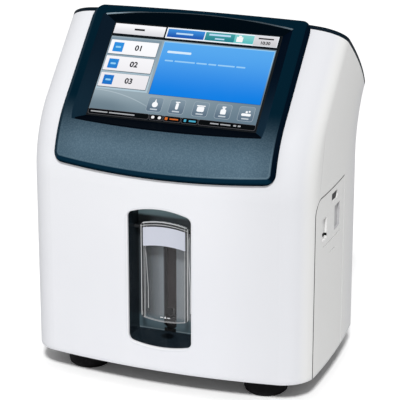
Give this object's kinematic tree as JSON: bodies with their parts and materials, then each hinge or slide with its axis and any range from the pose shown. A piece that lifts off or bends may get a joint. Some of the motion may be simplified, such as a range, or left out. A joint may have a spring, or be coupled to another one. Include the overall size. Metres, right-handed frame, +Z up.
{
  "type": "veterinary electrolyte analyzer",
  "caption": "Bench-top electrolyte analyzer with a leaning touch screen in a dark fascia, a sampler recess with a clear flap, a side door and rubber feet.",
  "frame": {"origin": "middle of the whole object's footprint box, on the table under the feet", "axes": "+X to the viewer's right, +Y from the front to the rear, +Z up"},
  "size_m": [0.2564, 0.201, 0.3148],
  "materials": {
    "shell_white": "fine satin moulding",
    "fascia_navy": "smooth dark face",
    "top_dark": "fine grained",
    "screen": "touch glass over a lit picture",
    "panel_metal": "plain sheet",
    "liner_navy": "glossy recess lining",
    "clear": "clear moulded plastic",
    "label_pale": "blank printed band",
    "probe_brown": "dark brown moulding",
    "black_plastic": "plain black moulding",
    "rubber": "black rubber",
    "steel": "plain steel",
    "sheet": "grey coated sheet",
    "pack_card": "pale coated carton",
    "board_green": "circuit board",
    "tube_clear": "soft tubing",
    "motor_grey": "dark coated motor",
    "cell_clear": "clear acrylic",
    "electrode_body": "grey plastic bodies",
    "paper": "thermal paper",
    "inner_grey": "grey inner moulding",
    "plate_silver": "blank plate"
  },
  "bodies": {
    "housing": {"front_cover": "shell_white", "rear_cover": "shell_white", "rear_screws": "steel", "top_cover": "top_dark", "display_fascia": "fascia_navy", "display_glass": "screen", "lcd_module": "panel_metal", "display_bracket": "sheet", "bracket_screws": "steel", "recess_liner": "liner_navy", "probe_bracket": "black_plastic", "wash_port": "black_plastic", "base_chassis": "sheet", "rubber_feet": "rubber", "foot_screws": "steel", "base_screws": "steel", "pack_cradle": "sheet", "reagent_pack": "pack_card", "pump_body": "inner_grey", "pump_tube": "tube_clear", "pump_motor": "motor_grey", "cell_bracket": "sheet", "electrode_block": "cell_clear", "electrodes": "electrode_body", "valve_block": "inner_grey", "main_board": "board_green", "power_supply": "sheet", "power_inlet": "black_plastic", "switch_frame": "black_plastic", "port_plate": "plate_silver", "rear_ports": "motor_grey", "id_plate": "plate_silver", "printer_mechanism": "inner_grey", "printer_tray": "inner_grey"},
    "sampler_flap": {"sampler_cover": "clear", "cover_label": "label_pale", "cover_hinge_pins": "steel"},
    "probe_arm": {"probe_holder": "probe_brown", "sample_probe": "steel", "probe_pivot_pin": "steel"},
    "door": {"side_door": "shell_white", "card_slot": "black_plastic", "door_hinge_pins": "steel"},
    "latch": {"door_latch": "black_plastic"},
    "lid": {"printer_lid": "top_dark", "printer_lid_pins": "steel"},
    "platen": {"platen_roller": "rubber"},
    "roll": {"paper_roll": "paper"},
    "pump": {"pump_rotor": "black_plastic", "pump_rollers": "steel"},
    "rocker": {"power_switch": "black_plastic"}
  },
  "joints": [
    {"name": "sampler_cover_hinge", "type": "hinge", "parent": "housing", "child": "sampler_flap", "pos_m": [0, -0.08034, 0.142], "axis": [-1, 0, 0], "range_deg": [0, 75]},
    {"name": "probe_swing", "type": "hinge", "parent": "housing", "child": "probe_arm", "pos_m": [0, -0.06384, 0.139], "axis": [-1, 0, 0], "range_deg": [0, 33]},
    {"name": "side_door_hinge", "type": "hinge", "parent": "housing", "child": "door", "pos_m": [0.12066, 0.00517, 0.1], "axis": [0, 0, 1], "range_deg": [0, 100]},
    {"name": "door_latch_press", "type": "slide", "parent": "door", "child": "latch", "axis": [-1, 0, 0], "range_m": [0, 0.002], "stiffness_N_per_m": 300},
    {"name": "printer_lid_hinge", "type": "hinge", "parent": "housing", "child": "lid", "pos_m": [0.03, 0.07424, 0.25145], "axis": [-1, 0, 0], "range_deg": [0, 75]},
    {"name": "paper_roll_spin", "type": "hinge", "parent": "housing", "child": "roll", "pos_m": [0.03, 0.03758, 0.2425], "axis": [1, 0, 0], "continuous": true},
    {"name": "platen_spin", "type": "hinge", "parent": "lid", "child": "platen", "pos_m": [0.03, 0.03253, 0.27371], "axis": [1, 0, 0], "continuous": true},
    {"name": "pump_spin", "type": "hinge", "parent": "housing", "child": "pump", "pos_m": [-0.078, -0.04983, 0.062], "axis": [0, 1, 0], "continuous": true},
    {"name": "power_switch_rock", "type": "hinge", "parent": "housing", "child": "rocker", "pos_m": [-0.036, 0.07716, 0.05], "axis": [-1, 0, 0], "range_deg": [0, 16]}
  ],
  "couplings": [
    {"joint": "probe_swing", "follows": "sampler_cover_hinge", "ratio": 0.43},
    {"joint": "platen_spin", "follows": "paper_roll_spin", "ratio": -4.2}
  ]
}
